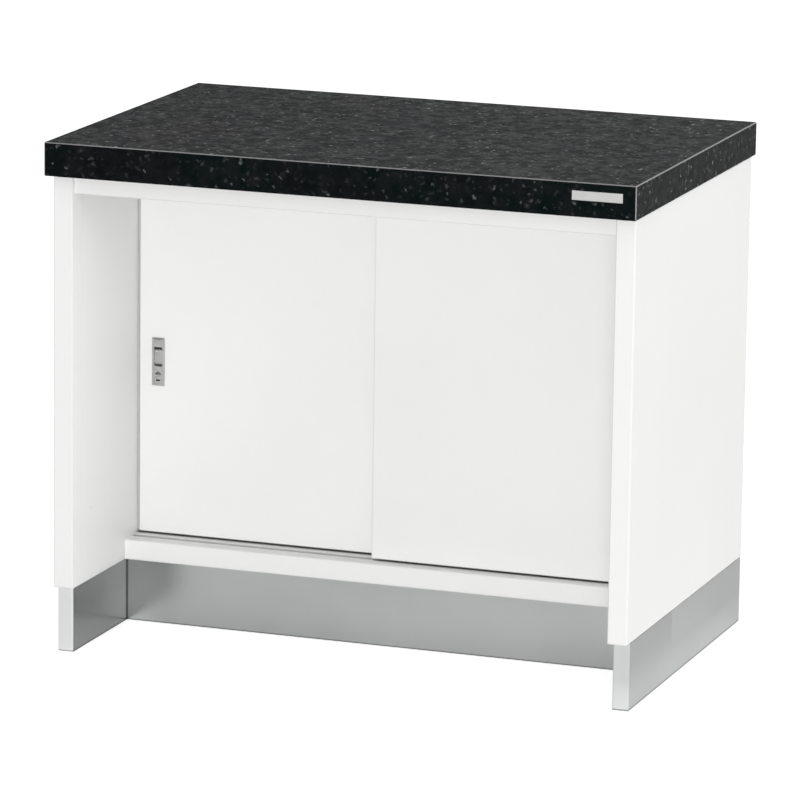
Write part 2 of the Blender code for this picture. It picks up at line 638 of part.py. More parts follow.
def build_lock(side, face, axis):
    """Key plug with an eccentric pin, and the flat bolt that the pin drives."""
    x = side * LOCK_X
    front = FIT + PULL_PLATE                # heights are measured from the door's front face
    cam_front = -PULL_BODY_DEPTH - FIT
    cam_back = cam_front - CAM_THICKNESS
    profile = [(0, front), (PLUG_RADIUS, front), (PLUG_RADIUS, cam_front), (CAM_RADIUS, cam_front),
               (CAM_RADIUS, cam_back), (0, cam_back)]
    plug = turned(SIDE_NAMES[side] + "_lock_plug", profile, "nickel", (x, face, LOCK_HEIGHT), axis)
    pin_x = x - side * CAM_PIN_OFFSET
    pin_z = LOCK_HEIGHT + CAM_PIN_OFFSET
    cam_middle = face - cam_front + CAM_THICKNESS / 2
    bolt_front = face + BOLT_START
    bolt_back = bolt_front + BOLT_THICKNESS
    combine(plug, pin(plug.name + "_cam_pin", CAM_PIN_RADIUS, (pin_x, cam_middle, pin_z),
                      (pin_x, bolt_back, pin_z), "nickel"), "UNION")
    cut_box(plug, "key_slot",
            (x - KEY_SLOT_WIDTH / 2, face - front - OVERRUN, LOCK_HEIGHT - KEY_SLOT_HEIGHT / 2),
            (x + KEY_SLOT_WIDTH / 2, face - front + KEY_SLOT_DEPTH, LOCK_HEIGHT + KEY_SLOT_HEIGHT / 2))

    tip = side * (DOOR_OUTER - SHEET / 2)
    tail = x - side * BOLT_TAIL
    left, right = ordered(tip, tail)
    bolt = block(SIDE_NAMES[side] + "_lock_bolt", (left, bolt_front, BOLT_BOTTOM),
                 (right, bolt_back, BOLT_BOTTOM + BOLT_HEIGHT), "zinc_steel", axis)
    reach = CAM_PIN_RADIUS + CAM_PIN_PLAY
    cut_box(bolt, "pin_fork", (pin_x - reach, bolt_front - OVERRUN, pin_z - reach),
            (pin_x + reach, bolt_back + OVERRUN, BOLT_BOTTOM + BOLT_HEIGHT + OVERRUN))


def build_door(side):
    """A sliding door: a folded skin closed by a back sheet, with its pull, lock, guides and rollers."""
    name = SIDE_NAMES[side] + "_door"
    face = DOOR_FACES[side]
    back = face + DOOR_THICKNESS
    middle = groove_centres()[side]
    outer, inner = side * DOOR_OUTER, -side * DOOR_OVERLAP / 2
    left, right = ordered(outer, inner)
    axis = joint_empty(name + "_slide", ((left + right) / 2, middle, DOOR_BOTTOM))

    skin = tray(name + "_skin", (left, face, DOOR_BOTTOM), (right, back, DOOR_TOP),
                [(0, 1, 0)], "white_paint", axis)
    edge = SHEET + FIT
    tray(name + "_back", (left + edge, back - SHEET - DOOR_BACK_FLANGE, DOOR_BOTTOM + edge),
         (right - edge, back, DOOR_TOP - edge), [(0, -1, 0)], "white_paint", axis)

    pull = build_pull(side, face, axis)
    build_lock(side, face, axis)
    window = [side * (DOOR_OUTER - PULL_INSET - PULL_EDGE + FIT),
              side * (DOOR_OUTER - PULL_INSET - PULL_WIDTH + PULL_EDGE - FIT)]
    near, far = ordered(*window)
    cut_box(skin, "pull_window", (near, face - OVERRUN, PULL_BOTTOM + PULL_EDGE - FIT),
            (far, face + SHEET + OVERRUN, PULL_BOTTOM + PULL_HEIGHT - PULL_EDGE + FIT))
    near, far = ordered(outer + side * OVERRUN, outer - side * (SHEET + OVERRUN))
    cut_box(skin, "bolt_slot", (near, face + BOLT_START - FIT, BOLT_BOTTOM - FIT),
            (far, face + BOLT_START + BOLT_THICKNESS + FIT, BOLT_BOTTOM + BOLT_HEIGHT + FIT))

    for number, x in enumerate((left + ROLLER_INSET, right - ROLLER_INSET), start=1):
        build_roller("%s_roller_%d" % (name, number), x, middle, axis)
        reach = ROLLER_RADIUS + ROLLER_HEADROOM
        half = ROLLER_WIDTH / 2 + FIT
        cut_box(skin, "roller_slot_%d" % number, (x - reach, middle - half, DOOR_BOTTOM - OVERRUN),
                (x + reach, middle + half, DOOR_BOTTOM + SHEET + OVERRUN))
    for number, x in enumerate((left + GUIDE_INSET, right - GUIDE_INSET - GUIDE_LENGTH), start=1):
        guide = block("%s_guide_%d" % (name, number), (x, middle - GUIDE_WIDTH / 2, DOOR_TOP + FIT),
                      (x + GUIDE_LENGTH, middle + GUIDE_WIDTH / 2, DOOR_TOP + FIT + GUIDE_HEIGHT),
                      "white_plastic", axis)
        round_edges(guide, ROLLER_EDGE, 1)


def build_table():
    build_slab()
    for side in SIDE_NAMES:
        build_side_shell(side)
        build_side_liner(side)
        build_strike(side)
        build_bumper(side)
    build_rails_and_deck()
    build_upper_track()
    build_sill()
    build_cabinet_sheets()
    build_shelf()
    build_base()
    for side in SIDE_NAMES:
        build_door(side)


build_table()
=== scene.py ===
import bpy
import bmesh
import math
from mathutils import Matrix, Vector


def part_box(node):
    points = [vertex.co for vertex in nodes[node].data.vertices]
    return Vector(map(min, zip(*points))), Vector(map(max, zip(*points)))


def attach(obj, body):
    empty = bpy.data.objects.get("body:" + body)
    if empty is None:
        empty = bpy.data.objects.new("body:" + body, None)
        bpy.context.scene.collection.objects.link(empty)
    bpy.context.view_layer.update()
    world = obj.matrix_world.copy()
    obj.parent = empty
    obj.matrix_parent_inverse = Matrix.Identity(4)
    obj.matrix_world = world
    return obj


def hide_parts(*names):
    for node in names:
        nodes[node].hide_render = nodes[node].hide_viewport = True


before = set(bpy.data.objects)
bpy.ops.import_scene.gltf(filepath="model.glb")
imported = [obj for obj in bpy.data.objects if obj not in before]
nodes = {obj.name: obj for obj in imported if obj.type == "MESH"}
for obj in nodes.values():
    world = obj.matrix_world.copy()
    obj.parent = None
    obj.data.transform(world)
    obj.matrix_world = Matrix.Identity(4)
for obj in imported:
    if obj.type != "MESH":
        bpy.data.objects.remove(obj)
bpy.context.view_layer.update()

scene = bpy.context.scene
mm = 0.001
sides = {"left": -1, "right": 1}
print("frame loaded:", len(nodes), "parts")


class Wire:                                     # an output socket, with arithmetic
    def __init__(self, tree, socket=None):
        self.tree = tree
        self.socket = socket

    def node(self, kind, settings=None, values=None, output=0):
        made = self.tree.nodes.new("ShaderNode" + kind)
        for key, value in (settings or {}).items():
            if key != "stops":
                setattr(made, key, value)
                continue
            ramp = made.color_ramp.elements
            while len(ramp) < len(value):
                ramp.new(0.5)
            for stop, (place, tone) in zip(ramp, value):
                stop.position = place
                stop.color = (tone, tone, tone, 1)
        for key, value in (values or {}).items():
            if isinstance(value, Wire):
                self.tree.links.new(value.socket, made.inputs[key])
            else:
                made.inputs[key].default_value = value
        return Wire(self.tree, made.outputs[output] if made.outputs else None)

    def other(self, output):                    # another output of the same node
        return Wire(self.tree, self.socket.node.outputs[output])

    def maths(self, operation, first, second=0.0):
        return self.node("Math", {"operation": operation}, {0: first, 1: second})

    def __add__(self, other):
        return self.maths("ADD", self, other)

    def __radd__(self, other):
        return self.maths("ADD", other, self)

    def __sub__(self, other):
        return self.maths("SUBTRACT", self, other)

    def __rsub__(self, other):
        return self.maths("SUBTRACT", other, self)

    def __mul__(self, other):
        return self.maths("MULTIPLY", self, other)

    def __rmul__(self, other):
        return self.maths("MULTIPLY", other, self)

    def __pow__(self, other):
        return self.maths("POWER", self, other)

    def fade(self, start, end):                 # 0 before start, 1 past end, smooth between
        return self.node("MapRange", {"interpolation_type": "SMOOTHSTEP"},
                         {"Value": self, "From Min": start, "From Max": end})

    def spread(self, low, high):                # a 0 to 1 value laid over a range
        return self.node("MapRange", {}, {"Value": self, "To Min": low, "To Max": high})

    def tint(self, first, second):              # colour that goes from first to second
        low, high = (c if isinstance(c, Wire) else (*c, 1) for c in (first, second))
        return self.node("Mix", {"data_type": "RGBA"}, {0: self, 6: low, 7: high}, 2)

    def noise(self, scale, detail=2.0, rough=0.5):
        return self.node("TexNoise", {}, {"Vector": self, "Scale": scale, "Detail": detail,
                                          "Roughness": rough})

    def clouds(self, scale, detail, rough, low, high):  # noise that fades between two levels
        return self.noise(scale, detail, rough).fade(low, high)

    def stretched(self, scale):                 # the same place, drawn out along an axis
        return self.node("Mapping", {}, {"Vector": self, "Scale": scale})

    def axes(self):                             # the X, Y and Z of a vector
        out = self.node("SeparateXYZ", {}, {"Vector": self})
        return out, out.other("Y"), out.other("Z")

    def vector(self, operation, first, second=(0, 0, 0), output=0):
        return self.node("VectorMath", {"operation": operation}, {0: first, 1: second}, output)

    def size(self):
        return self.maths("ABSOLUTE", self)

    def larger(self, other):
        return self.maths("MAXIMUM", self, other)

    def above(self, limit):                     # 1 past the limit and 0 before it
        return self.maths("GREATER_THAN", self, limit)


def startMaterial(name):
    material = bpy.data.materials.new(name)
    material.use_nodes = True
    material.node_tree.nodes.clear()
    wire = Wire(material.node_tree)
    return material, wire, wire.node("TexCoord", output="Object")


def endMaterial(material, wire, values, bump=None):
    if bump:
        height, strength, distance = bump
        values["Normal"] = wire.node("Bump", {}, {"Height": height, "Strength": strength,
                                                  "Distance": distance})
    surface = wire.node("BsdfPrincipled", {}, values)
    wire.node("OutputMaterial", {}, {"Surface": surface})
    return material


def grey(tone):
    return (tone, tone, tone)


def facing(wire):                               # the face's normal, then its sizes along X, Y, Z
    normal = wire.node("TexCoord", output="Normal")
    return normal, wire.vector("ABSOLUTE", normal).axes()


stoneLook = {                                   # lengths in metres, tones as linear albedo
    "warm": (0.0030, 0.0036, 0.0046), "cool": (0.0010, 0.0044, 0.0042),
    # painted light: the top's ground tones are lighter than the sides'
    "topWarm": (0.0068, 0.0072, 0.0110), "topCool": (0.0012, 0.0080, 0.0074),
    "haze": (0.0068, 0.0080, 0.0084), "hazeShare": 0.85,
    "grain": (0.010, 0.010, 0.010), "grainShare": 0.6,
    "flake": (0.42, 0.42, 0.41), "arris": (0.36, 0.36, 0.355), "plainArris": (0.26, 0.26, 0.26),
    "cloudNoise": (5, 2, 0.5, 0.35, 0.65),      # scale, detail, roughness, low and high level
    "hazeNoise": (38, 5, 0.7, 0.42, 0.68), "grainNoise": (420, 2, 0.5, 0.45, 0.7),
    "mottleNoise": (55, 5, 0.62, 0.36, 0.66), "mottle": (0.68, 1.42), "sideEven": 0.45,
    "wanderNoise": (190, 4, 0.6), "wander": 0.0105,
    "flakes": (                                 # a layer has so many cells to the metre
        {"scale": 62, "share": 0.55, "long": 0.0100, "wide": 0.0036, "strength": 0.10,
         "power": 1.4},
        {"scale": 100, "share": 0.72, "long": 0.0068, "wide": 0.0028, "strength": 0.20,
         "power": 2.6},
        {"scale": 140, "share": 0.30, "long": 0.0042, "wide": 0.0022, "strength": 0.56,
         "power": 5.5},
    ),
    # painted glint: how strong the flakes are on the front, the top and the ends
    "flakeEdge": (0.05, 1.2), "faceFlakes": 0.37, "topFlakes": 1.6, "sideFlakes": 2.6,
    "polish": 0.108, "sidePolish": 0.205, "polishRough": 0.035,
    "driftFrom": (-0.45, 0.45), "drift": (0.91, 1.12),
    "level": (0.5, 0.9), "end": (0.8, 0.95),    # normals: of the top, and of the slab's ends
    "flat": (0.85, 0.95), "below": (-0.6, -0.3), "slope": (0.2, 0.6),
}


def flakeLayer(wire, place, layer):             # longish crystals, each turned its own way
    cells = place.node("TexVoronoi", {}, {"Vector": place, "Scale": layer["scale"]}, "Color")
    centre = cells.other("Position")
    away = wire.vector("SUBTRACT", place, centre)
    course = wire.vector("NORMALIZE", wire.vector("SUBTRACT", cells, grey(0.5)))
    along = wire.vector("DOT_PRODUCT", away, course, "Value") ** 2
    reach = wire.vector("DOT_PRODUCT", away, away, "Value")
    size = along * (1 / layer["long"] ** 2) + (reach - along) * (1 / layer["wide"] ** 2)
    pick = wire.node("TexWhiteNoise", {}, {"Vector": centre}, "Value")
    strength = pick.fade(1 - layer["share"], 1) ** layer["power"]
    return (1 - size.fade(*stoneLook["flakeEdge"])) * strength * layer["strength"]


def makeStone():
    look = stoneLook
    material, wire, place = startMaterial("polishedBlackStone")
    normal, (side, face, level) = facing(wire)
    rise = normal.axes()[2]
    end = side.fade(*look["end"])               # 1 on the two ends of the slab
    wander = place.noise(*look["wanderNoise"]).other("Color")
    broken = wire.node("VectorMath", {"operation": "MULTIPLY_ADD"},
                       {0: wander, 1: grey(look["wander"]), 2: place})

    cloud = place.clouds(*look["cloudNoise"])
    # painted light: lighter ground tones on the top
    ground = rise.fade(*look["level"]).tint(cloud.tint(look["cool"], look["warm"]),
                                            cloud.tint(look["topCool"], look["topWarm"]))
    haze = broken.clouds(*look["hazeNoise"])
    grain = broken.clouds(*look["grainNoise"])
    ground = (haze * look["hazeShare"]).tint(ground, look["haze"])
    ground = (grain * haze * look["grainShare"]).tint(ground, look["grain"])
    bright = 0.0
    for layer in look["flakes"]:
        bright = flakeLayer(wire, broken, layer) + bright
    # painted glint: flakes lighter on the top and on the ends than on the front
    bright = bright * rise.spread(look["faceFlakes"], look["topFlakes"]) \
        * end.spread(1, look["sideFlakes"])
    ground = bright.tint(ground, look["flake"])

    # the honed arris is paler as the stone's own colour; left out on the bottom edges as painted
    # shade and lighter on the top of the ends as painted light
    arris = (1 - side.larger(face).larger(level).fade(*look["flat"])) * rise.fade(*look["below"])
    honed = (side.fade(*look["slope"]) * rise.fade(*look["slope"])) \
        .tint(look["plainArris"], look["arris"])
    across = place.axes()[0].fade(*look["driftFrom"])
    polish = end.spread(look["polish"], look["sidePolish"]) * across.spread(*look["drift"])
    mottle = broken.clouds(*look["mottleNoise"]).spread(*look["mottle"])
    polish = polish * (1 + (mottle - 1) * end.spread(1, look["sideEven"]))
    return endMaterial(material, wire, {
        "Base Color": arris.tint(ground, honed), "Roughness": 0.5, "Specular IOR Level": 0.0,
        "Coat Weight": (1 - arris) * polish, "Coat Roughness": look["polishRough"],
        "Coat IOR": 1.5,
    })


coatLooks = {                                   # tones, roughness range, the bump's scale and depth
    "white_paint": {"name": "whitePowderCoat", "low": (0.865, 0.865, 0.858),
                    "high": (0.890, 0.890, 0.884), "rough": (0.38, 0.46), "specular": 0.4,
                    "bumpScale": 620, "bump": 0.05, "depth": 0.0004},
    "white_plastic": {"name": "whiteMouldedPlastic", "low": (0.74, 0.74, 0.71),
                      "high": (0.80, 0.80, 0.78), "rough": (0.42, 0.55), "specular": 0.5,
                      "bumpScale": 900, "bump": 0.08, "depth": 0.0003},
    "softStrip": {"name": "greySoftStrip", "low": (0.50, 0.50, 0.49), "high": (0.56, 0.56, 0.55),
                  "rough": (0.65, 0.80), "specular": 0.3, "bumpScale": 500, "bump": 0.1,
                  "depth": 0.0002},
    "wheel": {"name": "darkNylon", "low": (0.060, 0.060, 0.062), "high": (0.085, 0.085, 0.086),
              "rough": (0.45, 0.60), "specular": 0.4, "bumpScale": 700, "bump": 0.08,
              "depth": 0.0002},
    "black_rubber": {"name": "blackRubber", "low": (0.022, 0.022, 0.022),
                     "high": (0.036, 0.036, 0.036), "rough": (0.70, 0.85), "specular": 0.3,
                     "bumpScale": 500, "bump": 0.2, "depth": 0.0004},
}


coatNoise = {"broad": (3.5, 3, 0.5, 0.3, 0.7), "speck": (90, 4), "fineDetail": 3,
             "toneShare": 0.7, "roughShare": 0.5}


paintedShadeLook = {                                   # painted shade on the white paint: its places on the painted sill, in metres, and its tones
    "z": (0.1245, 0.1346), "grooveTop": 0.1305, "rear": -0.0295, "front": -0.0595,
    "clear": 0.022, "wide": 0.4138, "under": 0.55, "groove": 0.84,
    # painted shade: its tone on the bends, and the normal range where a bend begins
    "bend": 0.58, "bendFrom": (0.82, 0.97),
}


def paintedTrackShade(wire, place):                    # painted shade under the closed doors and in the grooves
    look = paintedShadeLook
    out, deep, up = place.axes()
    level = up.above(look["z"][0]) * (1 - up.above(look["z"][1])) * (1 - deep.above(0.0)) \
        * (1 - out.size().above(look["wide"]))
    under = (deep.above(look["rear"]) * (1 - out.above(look["clear"]))) \
        .larger(deep.above(look["front"]) * out.above(-look["clear"]))
    groove = deep.above(look["front"]) * (1 - up.above(look["grooveTop"]))
    return level * under, level * groove


def bendMask(wire):                             # 1 where a face turns from one side to the next, for painted shade on the bends
    side, face, level = facing(wire)[1]
    return 1 - side.larger(face).larger(level).fade(*paintedShadeLook["bendFrom"])


def makeCoat(look, shade=None):
    material, wire, place = startMaterial(look["name"])
    broad = place.clouds(*coatNoise["broad"])
    fine = place.noise(look["bumpScale"], coatNoise["fineDetail"])
    speck = place.noise(*coatNoise["speck"])

    def blend(share):
        return broad * share + speck * (1 - share)

    tone = blend(coatNoise["toneShare"]).tint(look["low"], look["high"])
    if shade:
        # painted shade: darker under the closed doors, on the doors' lower fold and in the grooves
        under, groove = shade(wire, place)
        tone = groove.tint(tone, grey(paintedShadeLook["groove"] * look["high"][0]))
        tone = under.tint(tone, grey(paintedShadeLook["under"]))
        # painted shade along every bend of the white paint
        tone = bendMask(wire).tint(tone, grey(paintedShadeLook["bend"]))
    return endMaterial(material, wire, {
        "Base Color": tone,
        "Roughness": blend(coatNoise["roughShare"]).spread(*look["rough"]),
        "Specular IOR Level": look["specular"],
    }, (fine, look["bump"], look["depth"]))


metalLooks = {                                  # "grain": how fine the brushing is along X, Y, Z
    "brushed_metal": {"name": "brushedStainless", "low": (0.52, 0.535, 0.53),
                      "high": (0.59, 0.60, 0.595), "rough": (0.18, 0.26),
                      "grain": (5, 5, 1100), "cloud": 7, "bump": 0.06, "depth": 0.0002},
    "nickel": {"name": "satinNickel", "low": (0.42, 0.425, 0.42), "high": (0.52, 0.525, 0.52),
               "rough": (0.24, 0.34), "grain": (1400, 1400, 1400), "cloud": 60,
               "bump": 0.05, "depth": 0.0001},
    "zinc_steel": {"name": "zincPlatedSteel", "low": (0.47, 0.49, 0.52),
                   "high": (0.62, 0.63, 0.64), "rough": (0.30, 0.45), "grain": (300, 300, 300),
                   "cloud": 120, "bump": 0.06, "depth": 0.0002},
    "label": {"name": "satinLabelPlate", "low": (0.43, 0.43, 0.425), "high": (0.52, 0.52, 0.515),
              "rough": (0.30, 0.42), "grain": (15, 15, 2200), "cloud": 40,
              "bump": 0.05, "depth": 0.0001},
}


metalNoise = {"grainDetail": 3, "grainRough": 0.6, "cloudDetail": 3, "cloudFade": (0.3, 0.7),
              "toneShare": 0.6, "roughShare": 0.7}


paintedBaseLook = {                                    # painted shade and painted reflection on the metal base, in metres
    "foot": (0.0008, 0.0036, 0.42), "inner": (0.4194, 0.4202), "innerTone": 0.56,
    "front": (-0.2606, -0.2622), "frontTone": 1.65, "rim": (-0.2588, -0.2604), "rimTone": 0.6,
    "corner": (0.419, -0.056), "cornerReach": (0.0006, 0.0030), "cornerTone": 0.36,
    "fadeX": (0.350, 0.405), "ends": (0.4184, 0.4188), "fadeTone": 1.30,
    "kickFront": (-0.0562, -0.058), "across": (-0.43, 0.43), "acrossTone": (1.12, 0.86),
    "low": (0.010, 0.080), "lowTone": (1.16, 0.84),
}


def paintedBaseShade(wire, place):                     # painted shade in corners and where it meets the floor, painted reflection on the plinths and kick plate
    look = paintedBaseLook
    across, deep, up = place.axes()
    out = across.size()
    low, high, dark = look["foot"]
    # painted shadow where the base meets the floor
    foot = up.fade(low, high).spread(dark, 1)
    front = deep.fade(*look["front"])
    plinth = deep.fade(*look["kickFront"])      # all that lies in front of the kick plate
    # painted reflection: the inner faces darker, lighter near the floor
    rise = up.fade(*look["low"]).spread(*look["lowTone"])
    inner = out.fade(*look["inner"]).spread(look["innerTone"], 1) * rise
    inner = inner.larger(1 - plinth).larger(front)
    # painted shade along the inner faces' front edge
    rim = (deep.fade(*look["rim"]) * (1 - out.fade(*look["inner"]))).spread(1, look["rimTone"])
    # painted shade in the kick plate's corners
    far = out - look["corner"][0]
    near = deep - look["corner"][1]
    corner = wire.maths("SQRT", far * far + near * near)
    corner = corner.fade(*look["cornerReach"]).spread(look["cornerTone"], 1)
    # painted reflection: the kick plate lighter towards its ends
    side = out.fade(*look["fadeX"]) * (1 - out.fade(*look["ends"])) * (1 - plinth)
    side = side.spread(1, look["fadeTone"])
    # painted reflection: the plinths' front faces lighter, more so on the left
    level = across.fade(*look["across"]).spread(*look["acrossTone"])
    bright = front.spread(1, level * look["frontTone"])
    return foot * inner * rim * corner * side * bright


def makeMetal(look, keyway=None, shade=None):
    material, wire, place = startMaterial(look["name"] + ("Keyed" if keyway else ""))
    grain = place.stretched(look["grain"]).noise(1.0, metalNoise["grainDetail"],
                                                 metalNoise["grainRough"])
    cloud = place.noise(look["cloud"], metalNoise["cloudDetail"]).fade(*metalNoise["cloudFade"])

    def blend(share):
        return grain * share + cloud * (1 - share)

    tone = blend(metalNoise["toneShare"]).tint(look["low"], look["high"])
    metallic = 1.0
    if shade:
        # the shade function's painted shade and painted reflection multiply the tone
        tone = wire.vector("MULTIPLY", tone, shade(wire, place))
    if keyway:                                  # painted shade in the key's slot: dark and not metallic
        across, _, up = place.axes()
        inside = wire.maths("LESS_THAN", (across.size() - keyway["x"]).size(), keyway["half"]) \
            * wire.maths("LESS_THAN", (up - keyway["z"]).size(), keyway["rise"])
        tone = inside.tint(tone, keyway["dark"])
        metallic = 1 - inside
    return endMaterial(material, wire, {
        "Base Color": tone, "Metallic": metallic,
        "Roughness": blend(metalNoise["roughShare"]).spread(*look["rough"]),
    }, (grain, look["bump"], look["depth"]))


# painted shade in the key's slot: its place, half sizes and dark tone
keywayLook = {"x": 0.380, "z": 0.3695, "half": 0.00306, "rise": 0.00126, "dark": grey(0.012)}
finishes = {slot: makeCoat(look, paintedTrackShade if slot == "white_paint" else None)
            for slot, look in coatLooks.items()}
finishes.update({slot: makeMetal(look, shade=paintedBaseShade if slot == "brushed_metal" else None)
                 for slot, look in metalLooks.items()})
finishes["stone"] = makeStone()
keyedNickel = makeMetal(metalLooks["nickel"], keywayLook)

for name, node in nodes.items():
    for slot in node.material_slots:
        kind = slot.material.name.split(".")[0]
        slot.material = finishes[kind]
        if name.endswith("lock_plug"):
            slot.material = keyedNickel
        if name.endswith("door_bumper"):
            slot.material = finishes["softStrip"]
print("finishes on the packed parts")


meshLook = {"weld": 1e-6, "spinWeld": 1e-7, "sharpAngle": 40, "bevelAngle": 35}


def newPiece(name, bm, body, slot, replaced=(), finish=None):
    bmesh.ops.remove_doubles(bm, verts=bm.verts, dist=meshLook["weld"])
    bmesh.ops.recalc_face_normals(bm, faces=bm.faces)
    mesh = bpy.data.meshes.new(name)
    bm.to_mesh(mesh)
    bm.free()
    mesh.shade_smooth()
    mesh.set_sharp_from_angle(angle=math.radians(meshLook["sharpAngle"]))
    piece = bpy.data.objects.new(name, mesh)
    scene.collection.objects.link(piece)
    mesh.materials.append(finish or finishes[slot])
    weighted = piece.modifiers.new("flatFaces", "WEIGHTED_NORMAL")
    weighted.keep_sharp = True
    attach(piece, body)
    if replaced:
        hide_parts(*replaced)
    return piece


def soften(bm, width, segments, angle=meshLook["bevelAngle"]):
    edges = [e for e in bm.edges
             if len(e.link_faces) == 2 and e.calc_face_angle(0) > math.radians(angle)]
    bmesh.ops.bevel(bm, geom=edges, offset=width, offset_type="OFFSET", segments=segments,
                    profile=0.5, affect="EDGES", clamp_overlap=True, material=-1)


def upright(centre, across=1, tall=1):          # from the X-Y plane to one that faces -Y
    return (Matrix.Translation(centre) @ Matrix.Rotation(math.radians(90), 4, "X")
            @ Matrix.Diagonal((across, tall, 1, 1)))


def cutRing(bm, centre, across, tall, corner, steps, onlyTop=False):
    made = bmesh.ops.create_grid(bm, x_segments=1, y_segments=1, size=0.5,
                                 matrix=upright(centre, across, tall))
    corners = [v for v in made["verts"] if v.co.z > centre[2] or not onlyTop]
    made = bmesh.ops.bevel(bm, geom=corners, offset=corner, offset_type="OFFSET",
                           segments=steps, profile=0.5, affect="VERTICES", material=-1)
    face = made["verts"][0].link_faces[0]
    edges = list(face.edges)
    bmesh.ops.delete(bm, geom=[face], context="FACES_ONLY")
    return edges


def boxRing(bm, centre, across, tall, corner, steps=5):
    return cutRing(bm, centre, across, tall, corner, steps)


def archRing(bm, centre, across, tall, steps=8):    # a rectangle whose top is a half circle
    halfNearly = 0.4999                         # the two bends must not quite touch
    return cutRing(bm, centre, across, tall, across * halfNearly, steps, onlyTop=True)


def roundRing(bm, centre, radius, steps=24):
    made = bmesh.ops.create_circle(bm, cap_ends=False, radius=radius, segments=steps,
                                   matrix=upright(centre))
    return list({e for v in made["verts"] for e in v.link_edges})


def sink(bm, edges, depth, close=True):         # walls that go back from a ring
    made = bmesh.ops.extrude_edge_only(bm, edges=edges)
    verts = {g for g in made["geom"] if isinstance(g, bmesh.types.BMVert)}
    bmesh.ops.translate(bm, verts=list(verts), vec=(0, depth, 0))
    far = [e for e in bm.edges if set(e.verts) <= verts]
    if close:
        bmesh.ops.triangle_fill(bm, use_beauty=True, use_dissolve=True, edges=far)
    return far


def fill(bm, *rings):                           # a flat face between rings
    bmesh.ops.triangle_fill(bm, use_beauty=True, use_dissolve=True,
                            edges=[e for ring in rings for e in ring], normal=(0, -1, 0))


def turned(profile, steps, closed=False):       # (radius, along Y) pairs spun round the Y axis
    bm = bmesh.new()
    verts = [bm.verts.new((radius, along, 0)) for radius, along in profile]
    pairs = zip(verts, verts[1:] + verts[:1]) if closed else zip(verts, verts[1:])
    edges = [bm.edges.new(pair) for pair in pairs]
    bmesh.ops.spin(bm, geom=verts + edges, cent=(0, 0, 0), axis=(0, 1, 0), angle=math.tau,
                   steps=steps, use_merge=True, use_duplicate=False)
    bmesh.ops.remove_doubles(bm, verts=bm.verts, dist=meshLook["spinWeld"])
    bmesh.ops.recalc_face_normals(bm, faces=bm.faces)
    return bm


def absorb(bm, shell, matrix):                  # adds a finished shell to a piece, at a place
    mesh = bpy.data.meshes.new("shell")
    bmesh.ops.transform(shell, matrix=matrix, verts=shell.verts)
    shell.to_mesh(mesh)
    shell.free()
    bm.from_mesh(mesh)
    bpy.data.meshes.remove(mesh)


pullLook = {                                    # heights are from the plate's lower edge
    "width": 20 * mm, "height": 74 * mm, "plate": 1.2 * mm, "corner": 0.9 * mm,
    "bodyInset": 2 * mm, "bodyDepth": 14.5 * mm,
    "topSlot": {"width": 16.5 * mm, "height": 2.4 * mm, "at": 72.2 * mm, "depth": 2.0 * mm},
    "thumb": {"width": 13 * mm, "height": 7.2 * mm, "at": 64.2 * mm, "depth": 0.3 * mm},
    "pocket": {"width": 13 * mm, "height": 29.6 * mm, "at": 44.6 * mm, "depth": 11 * mm},
    "flap": {"width": 12.3 * mm, "height": 22.2 * mm, "at": 44.6 * mm, "face": 0.2 * mm,
             "thick": 1.6 * mm, "cuts": 15, "curlFrom": 0.84, "curl": 1.3 * mm, "lowCurl": 0.3},
    "marks": {"radius": 1.3 * mm, "at": 24.8 * mm, "places": (-5.7 * mm, 0, 5.7 * mm),
              "depth": 1.0 * mm},
    "arch": {"width": 9.6 * mm, "height": 4.4 * mm, "at": 19.2 * mm, "depth": 6 * mm},
    "holeCorner": 1.2 * mm, "holeCornerShare": 0.4, "markSteps": 16,
    "lockAt": 8.5 * mm, "bore": 6.1 * mm, "boreSteps": 32, "collar": 7.2 * mm,
    "collarSteps": 40, "collarSink": 0.8 * mm, "collarLip": 0.05 * mm, "collarRise": 0.12 * mm,
    "collarBend": (0.15 * mm, 0.3 * mm, 0.6 * mm, 0.1 * mm, 0.2 * mm),
    "softEdge": 0.25 * mm, "flapEdge": 0.2 * mm, "flapEdgeAngle": 60,
    "shadeFrom": 0.3 * mm, "shadeTo": 2.4 * mm, "shade": 0.48,
}


def paintedPullShade(wire, place):                     # painted shade: darker the deeper a face lies in the recesses
    look = pullLook
    across, deep, _ = place.axes()
    rear, front = (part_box(side + "_pull")[0].y for side in sides)
    depth = deep - across.above(0.0).spread(rear, front)
    return depth.fade(look["shadeFrom"], look["shadeTo"]).spread(1, look["shade"])


castFinish = makeMetal({**metalLooks["nickel"], "name": "castNickel"}, shade=paintedPullShade)


